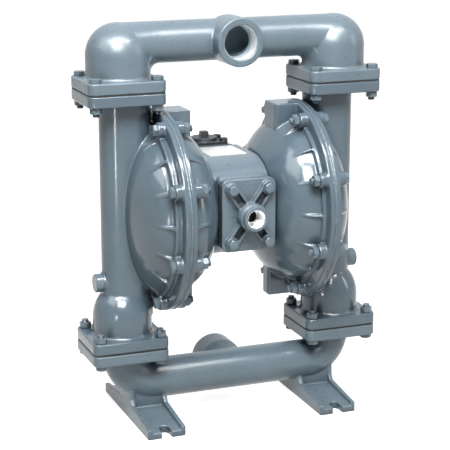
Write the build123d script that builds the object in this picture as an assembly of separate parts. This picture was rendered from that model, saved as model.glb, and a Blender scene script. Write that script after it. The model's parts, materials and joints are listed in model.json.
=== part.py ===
from build123d import *
import math
import os

# Air operated double diaphragm pump with 2 inch ports, in millimetres.
# The origin is on the floor under the middle of the pump. +X runs along the diaphragm rod to the right-hand
# column, -Y is the front with the air inlet and the discharge port, and +Z is up.
# Paired pieces are drawn once for the right-hand side and mirrored.

# Layout of the whole pump
column_spacing = 391.4
chamber_z = 367.0
discharge_joint_z = 576.3
suction_joint_z = 134.5
discharge_pipe_z = 652.5
suction_pipe_z = 63.5
diaphragm_x = 127.5

# Clearances
fit = 0.05
seat_fit = 0.1
loose_gap = 0.3
pocket_gap = 0.5

# Manifold pipes and ports
pipe_r = 35.0
pipe_wall = 8.0
suction_bend_r = 50.0
port_boss_r = 41.0
port_boss_reach = 61.0
port_r = 29.0
branch_bore_r = 26.0
port_depth = 28.0
port_chamfer = 2.5
suction_boss_reach = 79.0
suction_boss_root_y = 6.0
suction_boss_root_r = 30.0
suction_boss_full_y = 38.0

# Square joint flanges at both ends of each column
flange_half_x = 66.8
flange_half_y = 61.5
flange_corner_r = 14.0
flange_t = 19.5
flange_edge_r = 2.0
flange_bolt_inset = 14.0
joint_gasket_t = 1.6
joint_gasket_inset = 0.8

# Ball valves
ball_r = 31.75
ball_lift = 14.0
ball_cavity_r = 44.0
seat_bore_r = 26.0
seat_h = 14.0
cage_gap = 1.2
cage_rib_t = 6.0
cage_stop_h = 7.0
cage_stop_r = 14.0
elbow_wall = 10.0
elbow_rise = 0.6
bulb_wall = 7.0
bulb_straight_h = 48.0
bulb_shoulder_h = 60.0
shoulder_points = 6
root_fillet = 6.0

# Column and neck of the outer chamber
column_r = 34.0
column_wall = 7.0
neck_offset = 20.7
neck_low_z = 185.5
plug_z = 246.5
plug_head_r = 16.0
plug_head_t = 12.8
plug_thread_r = 10.5
plug_thread_l = 8.5
plug_boss_proud = 1.5
plug_boss_margin = 1.5

# Chamber bolting rings, domes and dishes
ring_r = 173.7
outer_ring_t = 8.8
inner_ring_t = 8.7
outer_rim_r = 151.5
outer_rim_h = 9.9
inner_rim_r = 152.8
inner_rim_h = 5.7
ring_edge_r = 1.5
dome_x = 140.0
dome_depth = 60.0
dome_r = 140.0
dome_wall = 8.0
dome_tip_r = 18.0
dish_x = 117.0
dish_depth = 84.0
dish_r = 145.0
dish_wall = 8.0
hub_x = 50.0
hub_t = 14.0

# Ring bolts, their bosses and the gusset ribs
ring_bolt_count = 8
ring_bolt_circle_r = 160.3
ring_boss_r = 13.0
outer_boss_h = 12.2
inner_boss_h = 13.3
gusset_t = 5.0
outer_gusset_reach = 22.5
outer_gusset_drop = 27.0
inner_gusset_reach = 24.0
inner_gusset_drop = 26.0
lug_half_y = 25.3
lug_reach = 40.5
lug_depth = 66.0
low_lug_half_y = 12.7
low_lug_reach = 46.6
lug_edge_r = 4.0

# Hexagon bolts and nuts
m12_r = 6.0
m12_flats = 18.0
m12_head_h = 7.5
m12_nut_h = 10.0
m12_hole_r = 6.8
m10_r = 5.0
m10_flats = 16.0
m10_head_h = 6.4
m10_hole_r = 5.6
m8_r = 4.0
m8_flats = 13.0
m8_head_h = 5.3
m8_hole_r = 4.5
stud_end = 5.0
hex_crown = 0.9

# Centre body
body_r = 85.0
body_back_y = 85.0
pad_half_x = 48.6
pad_half_z = 62.0
pad_face_y = -76.0
pad_corner_r = 12.0
hub_bolt_circle_r = 72.0
hub_bolt_count = 4
hub_bolt_grip = 16.0
hub_bolt_head_r = 8.0
hub_bolt_head_h = 10.0
hub_socket_half_flats = 4.0
hub_socket_depth = 5.0

# Diaphragms, plates and rod
stroke_half = 16.0
diaphragm_t = 3.0
diaphragm_inset = 1.5
convolution_in_r = 92.0
convolution_out_r = 130.0
convolution_h = 9.0
rod_r = 11.0
rod_hole_gap = 0.6
stud_r = 9.0
stud_reach = 11.0
inner_plate_r = 88.0
inner_plate_t = 13.0
inner_plate_edge_t = 4.5
inner_plate_hub_r = 30.0
inner_plate_bevel = 3.0
outer_plate_r = 84.0
outer_plate_t = 17.0
outer_plate_edge_t = 3.0
bushing_wall = 4.0
bushing_l = 24.0
seal_w = 4.0

# Pilot valve behind the air inlet cap
pilot_y = -60.0
pilot_travel = 5.0
pilot_plate_t = 10.0
pilot_block_half_x = 35.5
pilot_block_half_z = 23.5
pilot_block_back_y = -44.5
pilot_sleeve_r = 12.0
pilot_bore_r = 7.0
pilot_spool_half = 30.0
pilot_groove_r = 4.2
pilot_feed_r = 10.0
plunger_r = 5.0
plunger_tip_x = 91.0
plunger_bush_wall = 4.0
plunger_boss_wall = 5.0
plunger_boss_x = 80.0

# Air inlet cap
cap_gasket_t = 1.5
cap_plate_t = 9.0
cap_edge_r = 1.5
cap_bolt_half_x = 32.25
cap_bolt_half_z = 46.5
cap_boss_r = 11.5
cap_boss_h = 7.5
cap_rib_offset = 8.3
cap_rib_t = 4.6
cap_pocket_depth = 5.0
cap_hub_r = 23.5
cap_hub_h = 24.0
cap_nose_r = 20.8
cap_nose_h = 9.5
air_port_r = 15.2
air_port_chamfer = 1.6
cap_bolt_thread_l = 14.0

# Main air valve at the rear
valve_gasket_t = 1.5
valve_y = 121.0
valve_flange_t = 8.0
valve_flange_half_x = 49.0
valve_flange_half_z = 85.5
valve_flange_corner_r = 12.0
valve_bolt_half_x = 40.0
valve_bolt_half_z = 56.0
valve_bolt_thread_l = 18.0
valve_neck_half_x = 30.0
valve_barrel_r = 34.0
valve_half_l = 82.0
valve_end_half_x = 39.5
valve_end_half_y = 25.0
valve_end_corner_r = 9.0
valve_end_flange_t = 14.0
valve_cap_t = 7.0
valve_cap_crown_r = 24.0
valve_cap_crown_h = 6.5
valve_cap_rib_half_x = 7.0
valve_cap_rib_half_y = 7.0
valve_cap_rib_h = 10.0
valve_cap_bolt_x = 31.5
valve_cap_bolt_y = 17.0
valve_cap_bolt_l = 10.0
valve_sleeve_r = 22.0
valve_bore_r = 14.0
valve_groove_r = 9.0
valve_land_l = 22.0
valve_travel = 16.0
valve_window_count = 6
valve_window_r = 4.0
exhaust_boss_r = 24.0
exhaust_port_r = 16.0
exhaust_port_depth = 24.0
exhaust_bore_r = 12.0
exhaust_face_y = 172.0

# Blank nameplate
plate_half_x = 34.2
plate_front_y = -4.6
plate_back_y = 72.0
plate_t = 0.8
plate_pin_r = 2.2
plate_pin_h = 1.2
plate_pin_l = 4.0
plate_pin_inset = 5.0

# Feet of the suction manifold
foot_x = 158.5
foot_half_x = 33.6
foot_half_y = 126.0
foot_tip_t = 11.0
foot_root_t = 21.0
foot_rib_t = 8.0
foot_tip_h = 17.5
foot_knee_y = 34.0
foot_knee_z = 28.5
foot_shoulder_y = 28.0
foot_shoulder_z = 38.0
foot_saddle_half_y = 25.0
foot_slot_r = 8.75
foot_slot_y = 109.5

# Values worked out from those above
column_x = column_spacing / 2
pipe_bore_r = pipe_r - pipe_wall
column_bore_r = column_r - column_wall
bulb_r = ball_cavity_r + bulb_wall
elbow_r = ball_cavity_r + elbow_wall
elbow_top_z = discharge_pipe_z + pipe_r - elbow_r + elbow_rise
bolt_off_x = flange_half_x - flange_bolt_inset
bolt_off_y = flange_half_y - flange_bolt_inset
half_gasket = joint_gasket_t / 2
chamber_low_z = suction_joint_z + half_gasket
chamber_high_z = discharge_joint_z - half_gasket
outer_ring_x = diaphragm_x + diaphragm_t / 2
inner_ring_x = diaphragm_x - diaphragm_t / 2
outer_ring_back = outer_ring_x + outer_ring_t
inner_ring_back = inner_ring_x - inner_ring_t
cavity_r = dome_r - dome_wall
outer_bolt_seat = outer_ring_back + outer_boss_h
inner_bolt_seat = inner_ring_back - inner_boss_h
neck_x = column_x - neck_offset
ball_rest_h = math.sqrt((ball_r + loose_gap) ** 2 - seat_bore_r ** 2)
rod_half = inner_ring_x - inner_plate_t
bushing_r = rod_r + bushing_wall
plunger_bush_r = plunger_r + plunger_bush_wall
pilot_back_y = pad_face_y - cap_gasket_t
pilot_front_y = pilot_back_y - pilot_plate_t
cap_back_y = pilot_front_y - cap_gasket_t
cap_front_y = cap_back_y - cap_plate_t
cap_seat_y = cap_front_y - cap_boss_h
cap_hub_y = cap_front_y - cap_hub_h
cap_nose_y = cap_hub_y - cap_nose_h
valve_flange_y = body_back_y + valve_gasket_t
valve_face_y = valve_flange_y + valve_flange_t


# Plain solids

def block(x0, x1, y0, y1, z0, z1):
    box = Box(x1 - x0, y1 - y0, z1 - z0)
    return Pos((x0 + x1) / 2, (y0 + y1) / 2, (z0 + z1) / 2) * box


def bar_x(x0, x1, r, y=0.0, z=chamber_z):
    return Pos((x0 + x1) / 2, y, z) * Rot(0, 90, 0) * Cylinder(r, abs(x1 - x0))


def bar_y(y0, y1, r, x=0.0, z=chamber_z):
    return Pos(x, (y0 + y1) / 2, z) * Rot(90, 0, 0) * Cylinder(r, abs(y1 - y0))


def bar_z(z0, z1, r, x=0.0, y=0.0):
    return Pos(x, y, (z0 + z1) / 2) * Cylinder(r, abs(z1 - z0))


def plate_z(z0, z1, half_x, half_y, corner_r, x=0.0, y=0.0):
    """Flat plate with rounded corners that lies level."""
    outline = RectangleRounded(2 * half_x, 2 * half_y, corner_r)
    return Pos(x, y, z0) * extrude(outline, z1 - z0)


def plate_y(y0, y1, half_x, half_z, corner_r, z=chamber_z):
    """Flat plate with rounded corners that stands facing front and rear."""
    outline = RectangleRounded(2 * half_x, 2 * half_z, corner_r)
    return Pos(0, y1, z) * Rot(90, 0, 0) * extrude(outline, y1 - y0)


def turned_x(*points):
    """Solid turned about the rod's axis from (x, radius) points."""
    profile = Polygon(*points, align=None)
    return Pos(0, 0, chamber_z) * revolve(profile, Axis.X)


def domed_x(points, x, depth, r, tip_r, sign):
    """Solid turned about the rod's axis, with an elliptical dome.

    The outline follows the (x, radius) points, the last of which is (x, r), then a quarter of an ellipse
    towards sign that stops at a flat tip of radius tip_r.
    """
    low = math.degrees(math.asin(tip_r / r))
    tip_x = x + sign * depth * math.cos(math.radians(low))
    if sign > 0:
        arc = EllipticalCenterArc((x, 0), depth, r, low, arc_size=90 - low)
    else:
        arc = EllipticalCenterArc((x, 0), depth, r, 90, arc_size=90 - low)
    lines = Polyline((tip_x, tip_r), (tip_x, 0), *points)
    return Pos(0, 0, chamber_z) * revolve(make_face([*lines.edges(), arc]), Axis.X)


def shouldered_z(x, z0, z1, root, r, straight_h, shoulder_h, thin_r):
    """Upright solid turned about the column's axis.

    From z0 up it has a concave root, a straight part of radius r, an elliptical shoulder and a part of
    radius thin_r that ends at z1.
    """
    high = math.acos(thin_r / r)
    shoulder_z = z0 + straight_h
    curve = []
    for i in range(shoulder_points):
        turn = high * i / (shoulder_points - 1)
        curve.append((r * math.cos(turn), shoulder_z + shoulder_h * math.sin(turn)))
    edges = [Spline(*curve)]
    edges += Polyline(curve[-1], (thin_r, z1), (0, z1), (0, z0), (r + root, z0)).edges()
    if root > 0:
        middle = root * (1 - math.sqrt(0.5))
        edges.append(ThreePointArc((r + root, z0), (r + middle, z0 + middle), (r, z0 + root)))
    edges.append(Line((r, z0 + root), (r, shoulder_z)))
    return Pos(x, 0, 0) * Rot(90, 0, 0) * revolve(make_face(edges), Axis.Y)


def capped_z(z0, z1, root, r):
    """Upright round solid on the column's axis from z0 to z1 under a half sphere, with a concave root."""
    edges = [ThreePointArc((r, z1), (r * math.sqrt(0.5), z1 + r * math.sqrt(0.5)), (0, z1 + r))]
    edges += Polyline((0, z1 + r), (0, z0), (r + root, z0)).edges()
    if root > 0:
        middle = root * (1 - math.sqrt(0.5))
        edges.append(ThreePointArc((r + root, z0), (r + middle, z0 + middle), (r, z0 + root)))
    edges.append(Line((r, z0 + root), (r, z1)))
    return Pos(column_x, 0, 0) * Rot(90, 0, 0) * revolve(make_face(edges), Axis.Y)


def slot_z(z0, z1, r, x_in, x_out):
    """Upright oblong bar from a round end at x_in to a round end at x_out."""
    outline = SlotCenterToCenter(x_out - x_in, 2 * r)
    return Pos((x_in + x_out) / 2, 0, z0) * extrude(outline, z1 - z0)


def fused(shapes):
    whole = shapes[0]
    for shape in shapes[1:]:
        whole = whole + shape
    return whole


def mirrored(shape):
    return mirror(shape, about=Plane.YZ)


def save(name, shape):
    export_step(shape, "parts/" + name + ".step")


def save_pair(name, shape):
    """A right-hand piece and its mirror image."""
    save("right_" + name, shape)
    save("left_" + name, mirrored(shape))


# Hexagon fasteners, drawn along +Z with the head's seat at z = 0

def hexagon(flats, height):
    prism = extrude(RegularPolygon(flats / 2, 6, major_radius=False), height)
    corner_r = flats / math.sqrt(3)
    slope = corner_r - flats / 2
    crown = Pos(0, 0, height - hex_crown) * Cone(corner_r, corner_r - 2 * slope, 2 * hex_crown)
    lower = Pos(0, 0, (height - 2 * hex_crown) / 2) * Cylinder(corner_r, height - 2 * hex_crown)
    return prism & (lower + crown)


def hex_bolt(shank_r, shank_l, flats, head_h):
    shank = Pos(0, 0, -shank_l / 2) * Cylinder(shank_r, shank_l)
    return hexagon(flats, head_h) + shank


def hex_nut(shank_r, flats, height):
    bore = Pos(0, 0, height / 2) * Cylinder(shank_r + fit, 2 * height)
    return hexagon(flats, height) - bore


def around_x(shape, count, start_deg):
    """Copies of a shape turned about the rod's axis."""
    copies = []
    for i in range(count):
        turn = start_deg + i * 360.0 / count
        copies.append(Pos(0, 0, chamber_z) * Rot(turn, 0, 0) * shape)
    return copies


ring_start = 180.0 / ring_bolt_count


def ring_pattern(shape):
    """Copies on the ring's bolt circle of a shape drawn on the axis through the origin."""
    return around_x(Pos(0, ring_bolt_circle_r, 0) * shape, ring_bolt_count, ring_start)


def ring_holes():
    reach = outer_bolt_seat - inner_bolt_seat + 2
    middle = (outer_bolt_seat + inner_bolt_seat) / 2
    hole = Pos(middle, 0, 0) * Rot(0, 90, 0) * Cylinder(m12_hole_r, reach)
    return ring_pattern(hole)


def corner_pattern(x=column_x):
    """Places of the four bolts of a square joint flange."""
    places = []
    for sx in (-1, 1):
        for sy in (-1, 1):
            places.append((x + sx * bolt_off_x, sy * bolt_off_y))
    return places


def joint_flange(z0, z1, x=column_x):
    plate = plate_z(z0, z1, flange_half_x, flange_half_y, flange_corner_r, x)
    rims = plate.edges().group_by(Axis.Z)[0] + plate.edges().group_by(Axis.Z)[-1]
    return fillet(rims, flange_edge_r)


def joint_holes(z0, z1, x=column_x):
    return [bar_z(z0, z1, m12_hole_r, px, py) for px, py in corner_pattern(x)]


def ball_cage(seat_top, envelope):
    """Four ribs that guide the ball and end in stops above its full lift, trimmed to the casting."""
    guide_r = ball_r + cage_gap
    wall_r = ball_cavity_r + bulb_wall
    stop_z = seat_top + ball_rest_h + ball_r + ball_lift + cage_gap
    rib = block(guide_r, wall_r, -cage_rib_t / 2, cage_rib_t / 2, seat_top, stop_z + cage_stop_h)
    stop = block(cage_stop_r, wall_r, -cage_rib_t / 2, cage_rib_t / 2, stop_z, stop_z + cage_stop_h)
    ribs = []
    for turn in (45, 135, 225, 315):
        ribs.append(Pos(column_x, 0, 0) * Rot(0, 0, turn) * (rib + stop))
    return fused(ribs) & envelope


# Discharge manifold

def discharge_manifold():
    low_z = discharge_joint_z + half_gasket
    flange_top = low_z + flange_t
    right_elbow = capped_z(flange_top, elbow_top_z, root_fillet, elbow_r)
    right_cage = ball_cage(low_z + seat_h, capped_z(low_z, elbow_top_z, 0, ball_cavity_r + elbow_wall / 2))
    right_end = right_elbow + joint_flange(low_z, flange_top)
    right_void = capped_z(low_z - 1, elbow_top_z, 0, ball_cavity_r)
    outer = bar_x(-column_x, column_x, pipe_r, 0, discharge_pipe_z)
    outer += Pos(0, 0, discharge_pipe_z) * Sphere(port_boss_r)
    outer += bar_y(-port_boss_reach, 0, port_boss_r, 0, discharge_pipe_z)
    outer += right_end
    outer += mirrored(right_end)
    void = bar_x(-column_x, column_x, pipe_bore_r, 0, discharge_pipe_z)
    void += bar_y(-port_boss_reach - 1, 0, branch_bore_r, 0, discharge_pipe_z)
    void += bar_y(-port_boss_reach - 1, port_depth - port_boss_reach, port_r, 0, discharge_pipe_z)
    void += right_void
    void += mirrored(right_void)
    body = outer - void + right_cage + mirrored(right_cage)
    mouth = Pos(0, -port_boss_reach, discharge_pipe_z) * Rot(-90, 0, 0)
    body -= mouth * Cone(port_r + port_chamfer, port_r, 2 * port_chamfer)
    for hole in joint_holes(low_z - 1, flange_top + 1) + joint_holes(low_z - 1, flange_top + 1, -column_x):
        body -= hole
    return body


# Suction manifold with its feet

def pipe_run(r):
    """Straight pipe, two bends and two short risers, as one solid of radius r."""
    centre_x = column_x - suction_bend_r
    top_z = suction_joint_z - half_gasket
    circle = Plane.YZ * Circle(r)
    section = Pos(centre_x, 0, suction_pipe_z) * circle
    turn = Axis((centre_x, 0, suction_pipe_z + suction_bend_r), (0, -1, 0))
    bend = revolve(section, turn, 90)
    right = bend + bar_z(suction_pipe_z + suction_bend_r, top_z, r, column_x)
    run = bar_x(-centre_x, centre_x, r, 0, suction_pipe_z)
    return run + right + mirrored(right)


def foot():
    """One foot: a sloping web between two raised ribs, a saddle under the pipe and two open slots."""
    rib_side = [
        (-foot_half_y, 0), (-foot_half_y, foot_tip_h), (-foot_knee_y, foot_knee_z),
        (-foot_shoulder_y, foot_shoulder_z), (-foot_shoulder_y, suction_pipe_z), (foot_shoulder_y, suction_pipe_z),
        (foot_shoulder_y, foot_shoulder_z), (foot_knee_y, foot_knee_z),
        (foot_half_y, foot_tip_h), (foot_half_y, 0),
    ]
    web_side = [
        (-foot_half_y, 0), (-foot_half_y, foot_tip_t), (-foot_saddle_half_y, foot_root_t),
        (-foot_saddle_half_y, suction_pipe_z), (foot_saddle_half_y, suction_pipe_z),
        (foot_saddle_half_y, foot_root_t), (foot_half_y, foot_tip_t), (foot_half_y, 0),
    ]
    rib = extrude(Plane.YZ * Polygon(*rib_side, align=None), foot_rib_t / 2, both=True)
    rib_x = foot_half_x - foot_rib_t / 2
    web = extrude(Plane.YZ * Polygon(*web_side, align=None), foot_half_x, both=True)
    whole = web + Pos(rib_x, 0, 0) * rib + Pos(-rib_x, 0, 0) * rib
    for side_y in (-1, 1):
        mouth_y = side_y * (foot_half_y + 1)
        centre_y = side_y * foot_slot_y
        whole -= bar_z(-1, foot_tip_h, foot_slot_r, 0, centre_y)
        whole -= block(-foot_slot_r, foot_slot_r, min(centre_y, mouth_y), max(centre_y, mouth_y), -1, foot_tip_h)
    return whole


def suction_manifold():
    top_z = suction_joint_z - half_gasket
    low_z = top_z - flange_t
    flange = joint_flange(low_z, top_z)
    body = pipe_run(pipe_r)
    body += bar_y(suction_boss_full_y, suction_boss_reach, port_boss_r, 0, suction_pipe_z)
    flare = Cone(suction_boss_root_r, port_boss_r, suction_boss_full_y - suction_boss_root_y)
    flare_y = (suction_boss_full_y + suction_boss_root_y) / 2
    body += Pos(0, flare_y, suction_pipe_z) * Rot(-90, 0, 0) * flare
    body += flange
    body += mirrored(flange)
    body += Pos(foot_x, 0, 0) * foot()
    body += Pos(-foot_x, 0, 0) * foot()
    body -= pipe_run(pipe_bore_r)
    body -= bar_y(0, suction_boss_reach + 1, branch_bore_r, 0, suction_pipe_z)
    body -= bar_y(suction_boss_reach - port_depth, suction_boss_reach + 1, port_r, 0, suction_pipe_z)
    mouth = Pos(0, suction_boss_reach, suction_pipe_z) * Rot(90, 0, 0)
    body -= mouth * Cone(port_r + port_chamfer, port_r, 2 * port_chamfer)
    for hole in joint_holes(low_z - 1, top_z + 1) + joint_holes(low_z - 1, top_z + 1, -column_x):
        body -= hole
    return body


# Outer chambers: dome, ring, column, neck, ball housing and flanges in one casting

def outer_gusset():
    """Tapered rib from the rim down the dome, drawn at the top of the chamber."""
    top_r = outer_rim_r - ring_edge_r
    rim_x = outer_ring_back + outer_rim_h
    points = [
        (outer_ring_back, 0), (outer_ring_back, top_r), (rim_x, top_r),
        (rim_x + outer_gusset_reach, top_r - outer_gusset_drop), (rim_x, 0),
    ]
    web = extrude(Plane.XZ * Polygon(*points, align=None), gusset_t / 2, both=True)
    keep = block(outer_ring_back, rim_x + dome_depth, -gusset_t, gusset_t, cavity_r - outer_gusset_drop, ring_r)
    return web & keep


def outer_chamber():
    rim_x = outer_ring_back + outer_rim_h
    rim_foot_r = dome_r * math.sqrt(1 - ((rim_x - dome_x) / dome_depth) ** 2)
    ring = turned_x(
        (outer_ring_x, cavity_r - 1), (outer_ring_x, ring_r), (outer_ring_back - ring_edge_r, ring_r),
        (outer_ring_back, ring_r - ring_edge_r), (outer_ring_back, outer_rim_r),
        (rim_x - ring_edge_r, outer_rim_r), (rim_x, outer_rim_r - ring_edge_r), (rim_x, rim_foot_r - 1),
        (rim_x - 1, cavity_r - 1),
    )
    solid = domed_x([(outer_ring_x, 0), (outer_ring_x, dome_r), (dome_x, dome_r)],
                    dome_x, dome_depth, dome_r, dome_tip_r, 1)
    solid += ring
    boss = Pos((outer_ring_back + outer_bolt_seat) / 2, 0, 0) * Rot(0, 90, 0)
    boss = boss * Cylinder(ring_boss_r, outer_bolt_seat - outer_ring_back)
    for one in ring_pattern(boss):
        solid += one
    for one in around_x(outer_gusset(), 2 * ring_bolt_count, 0):
        solid += one
    low_flange_top = chamber_low_z + flange_t
    high_flange_low = chamber_high_z - flange_t
    bulb_low_h = bulb_straight_h - flange_t
    bulb = shouldered_z(
        column_x, low_flange_top, chamber_z, root_fillet, bulb_r, bulb_low_h, bulb_shoulder_h, column_r)
    envelope = shouldered_z(
        column_x, chamber_low_z, chamber_z, 0, ball_cavity_r + bulb_wall / 2, bulb_straight_h,
        bulb_shoulder_h - bulb_wall / 2, column_bore_r + column_wall / 2)
    cage = ball_cage(chamber_low_z + seat_h, envelope)
    solid += slot_z(neck_low_z, high_flange_low + 1, column_r, neck_x, column_x)
    solid += bulb
    solid += joint_flange(chamber_low_z, low_flange_top)
    solid += joint_flange(high_flange_low, chamber_high_z)
    plug_face_x = column_x + column_r + plug_boss_proud
    solid += bar_x(column_x + column_r / 2, plug_face_x, plug_head_r + plug_boss_margin, 0, plug_z)
    void = domed_x([(outer_ring_x - 1, 0), (outer_ring_x - 1, cavity_r), (dome_x, cavity_r)],
                   dome_x, dome_depth - dome_wall, cavity_r, dome_tip_r, 1)
    neck_top = high_flange_low - column_wall
    void += slot_z(neck_low_z + column_wall, neck_top, column_bore_r, neck_x, column_x)
    void += bar_z(chamber_z, chamber_high_z + 1, column_bore_r, column_x)
    void += shouldered_z(
        column_x, chamber_low_z - 1, chamber_z, 0, ball_cavity_r, bulb_straight_h + 1,
        bulb_shoulder_h - bulb_wall, column_bore_r)
    solid = solid - void + cage
    solid -= bar_x(column_x + column_bore_r - 2, plug_face_x + 1, plug_thread_r + fit, 0, plug_z)
    for hole in ring_holes():
        solid -= hole
    for hole in joint_holes(chamber_low_z - 1, low_flange_top + 1):
        solid -= hole
    for hole in joint_holes(high_flange_low - 1, chamber_high_z + 1):
        solid -= hole
    return solid


# Inner chambers: dished casting with ring, bosses, gussets and lugs

def inner_gusset():
    top_r = inner_rim_r - ring_edge_r
    rim_x = inner_ring_back - inner_rim_h
    points = [
        (inner_ring_back, 0), (inner_ring_back, top_r), (rim_x, top_r),
        (rim_x - inner_gusset_reach, top_r - inner_gusset_drop), (rim_x, 0),
    ]
    web = extrude(Plane.XZ * Polygon(*points, align=None), gusset_t / 2, both=True)
    keep = block(hub_x, inner_ring_back, -gusset_t, gusset_t, cavity_r - inner_gusset_drop, ring_r)
    return web & keep


def lug(half_y, reach, sign):
    """Rectangular lug on the ring's inner side, at the top (sign 1) or the bottom (sign -1)."""
    far_z = chamber_z + sign * (ring_r - ring_edge_r)
    near_z = far_z - sign * lug_depth
    body = block(inner_ring_back - reach, inner_ring_back, -half_y, half_y, min(far_z, near_z), max(far_z, near_z))
    front = body.edges().filter_by(Axis.Z).group_by(Axis.X)[0]
    far = body.edges().filter_by(Axis.Y).group_by(Axis.X)[0].sort_by(Axis.Z)[-1 if sign > 0 else 0]
    return fillet(front + [far], lug_edge_r)


def inner_chamber():
    rim_x = inner_ring_back - inner_rim_h
    ring = turned_x(
        (inner_ring_x, cavity_r - 1), (inner_ring_x, ring_r), (inner_ring_back + ring_edge_r, ring_r),
        (inner_ring_back, ring_r - ring_edge_r), (inner_ring_back, inner_rim_r),
        (rim_x + ring_edge_r, inner_rim_r), (rim_x, inner_rim_r - ring_edge_r), (rim_x, cavity_r - 1),
    )
    hub_mouth_r = dish_r * math.sqrt(1 - ((dish_x - hub_x) / dish_depth) ** 2)
    dish = domed_x([(inner_ring_x, 0), (inner_ring_x, dish_r), (dish_x, dish_r)],
                   dish_x, dish_depth, dish_r, hub_mouth_r, -1)
    solid = dish + ring
    boss = Pos((inner_ring_back + inner_bolt_seat) / 2, 0, 0) * Rot(0, 90, 0)
    boss = boss * Cylinder(ring_boss_r, inner_ring_back - inner_bolt_seat)
    for one in ring_pattern(boss):
        solid += one
    for one in around_x(inner_gusset(), 2 * ring_bolt_count, 0):
        solid += one
    solid += lug(lug_half_y, lug_reach, 1)
    solid += lug(low_lug_half_y, low_lug_reach, -1)
    cavity_floor = hub_x + hub_t
    floor_r = cavity_r * math.sqrt(1 - ((dish_x - cavity_floor) / (dish_depth - dish_wall)) ** 2)
    void = domed_x([(inner_ring_x + 1, 0), (inner_ring_x + 1, cavity_r), (dish_x, cavity_r)],
                   dish_x, dish_depth - dish_wall, cavity_r, floor_r, -1)
    solid -= void
    solid += bar_x(cavity_floor - 1, plunger_boss_x, plunger_bush_r + plunger_boss_wall, pilot_y)
    solid -= bar_x(hub_x - 1, plunger_boss_x + 1, plunger_bush_r + fit, pilot_y)
    solid -= bar_x(hub_x - 1, cavity_floor + 1, rod_r + rod_hole_gap)
    solid -= bar_x(hub_x - 1, hub_x + seal_w, bushing_r + fit)
    for hole in hub_bolt_bars(hub_x - 1, cavity_floor + 1, m10_hole_r):
        solid -= hole
    for hole in ring_holes():
        solid -= hole
    return solid


def hub_bolt_bars(x0, x1, r):
    """Round bars on the hub's bolt circle."""
    bar = Pos((x0 + x1) / 2, hub_bolt_circle_r, 0) * Rot(0, 90, 0) * Cylinder(r, x1 - x0)
    return around_x(bar, hub_bolt_count, 180.0 / hub_bolt_count)


# Centre body

def centre_body():
    round_part = bar_x(-hub_x, hub_x, body_r)
    back = block(-hub_x, hub_x, 0, body_back_y, chamber_z - body_r, chamber_z + body_r)
    pad = plate_y(pad_face_y, 0, pad_half_x, pad_half_z, pad_corner_r)
    front_cut = plate_y(-body_r - 1, pad_face_y, pad_half_x + pocket_gap, pad_half_z, pad_corner_r)
    solid = round_part - front_cut + back + pad
    solid -= bar_x(-hub_x - 1, hub_x + 1, rod_r + rod_hole_gap)
    for side in (-1, 1):
        solid -= bar_x(side * (hub_x - bushing_l), side * (hub_x + 1), bushing_r + fit)
        solid -= bar_x(side * pilot_block_half_x, side * (hub_x + 1), plunger_r + 1, pilot_y)
    solid -= block(
        -pilot_block_half_x - pocket_gap, pilot_block_half_x + pocket_gap, pad_face_y - 1,
        pilot_block_back_y + pocket_gap, chamber_z - pilot_block_half_z - pocket_gap,
        chamber_z + pilot_block_half_z + pocket_gap)
    for hole in hub_bolt_bars(hub_x - hub_bolt_grip - 1, hub_x + 1, m10_r + fit):
        solid -= hole
        solid -= mirrored(hole)
    for px, pz in cap_bolt_places():
        solid -= bar_y(pad_face_y - 1, pad_face_y + cap_bolt_thread_l + 1, m10_r + fit, px, pz)
    for px, pz in valve_bolt_places():
        solid -= bar_y(body_back_y - valve_bolt_thread_l - 1, body_back_y + 1, m10_r + fit, px, pz)
    for px, py in plate_pin_places():
        solid -= bar_z(chamber_z + body_r - plate_pin_l - 1, chamber_z + body_r + 1, plate_pin_r / 2 + fit, px, py)
    return solid


def cap_bolt_places():
    places = []
    for sx in (-1, 1):
        for sz in (-1, 1):
            places.append((sx * cap_bolt_half_x, chamber_z + sz * cap_bolt_half_z))
    return places


def valve_bolt_places():
    places = []
    for sx in (-1, 1):
        for sz in (-1, 1):
            places.append((sx * valve_bolt_half_x, chamber_z + sz * valve_bolt_half_z))
    return places


def plate_pin_places():
    x = plate_half_x - plate_pin_inset
    places = []
    for sx in (-1, 1):
        for y in (plate_front_y + 2 * plate_pin_inset, plate_back_y - plate_pin_inset):
            places.append((sx * x, y))
    return places


def nameplate():
    top = chamber_z + body_r
    middle_y = (plate_front_y + plate_back_y) / 2
    half_y = (plate_back_y - plate_front_y) / 2
    plate = plate_z(top, top + plate_t, plate_half_x, half_y, plate_pin_r, 0, middle_y)
    for px, py in plate_pin_places():
        plate -= bar_z(top - 1, top + plate_t + 1, plate_pin_r / 2 + fit, px, py)
    return plate


def nameplate_pins():
    top = chamber_z + body_r + plate_t
    pins = []
    for px, py in plate_pin_places():
        shank = bar_z(top - plate_t - plate_pin_l, top, plate_pin_r / 2, px, py)
        head = Pos(px, py, top) * (Sphere(plate_pin_r) & bar_z(0, plate_pin_h, 2 * plate_pin_r))
        pins.append(shank + head)
    return Compound(children=pins)


# Diaphragms, plates, rod and their bearings

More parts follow.
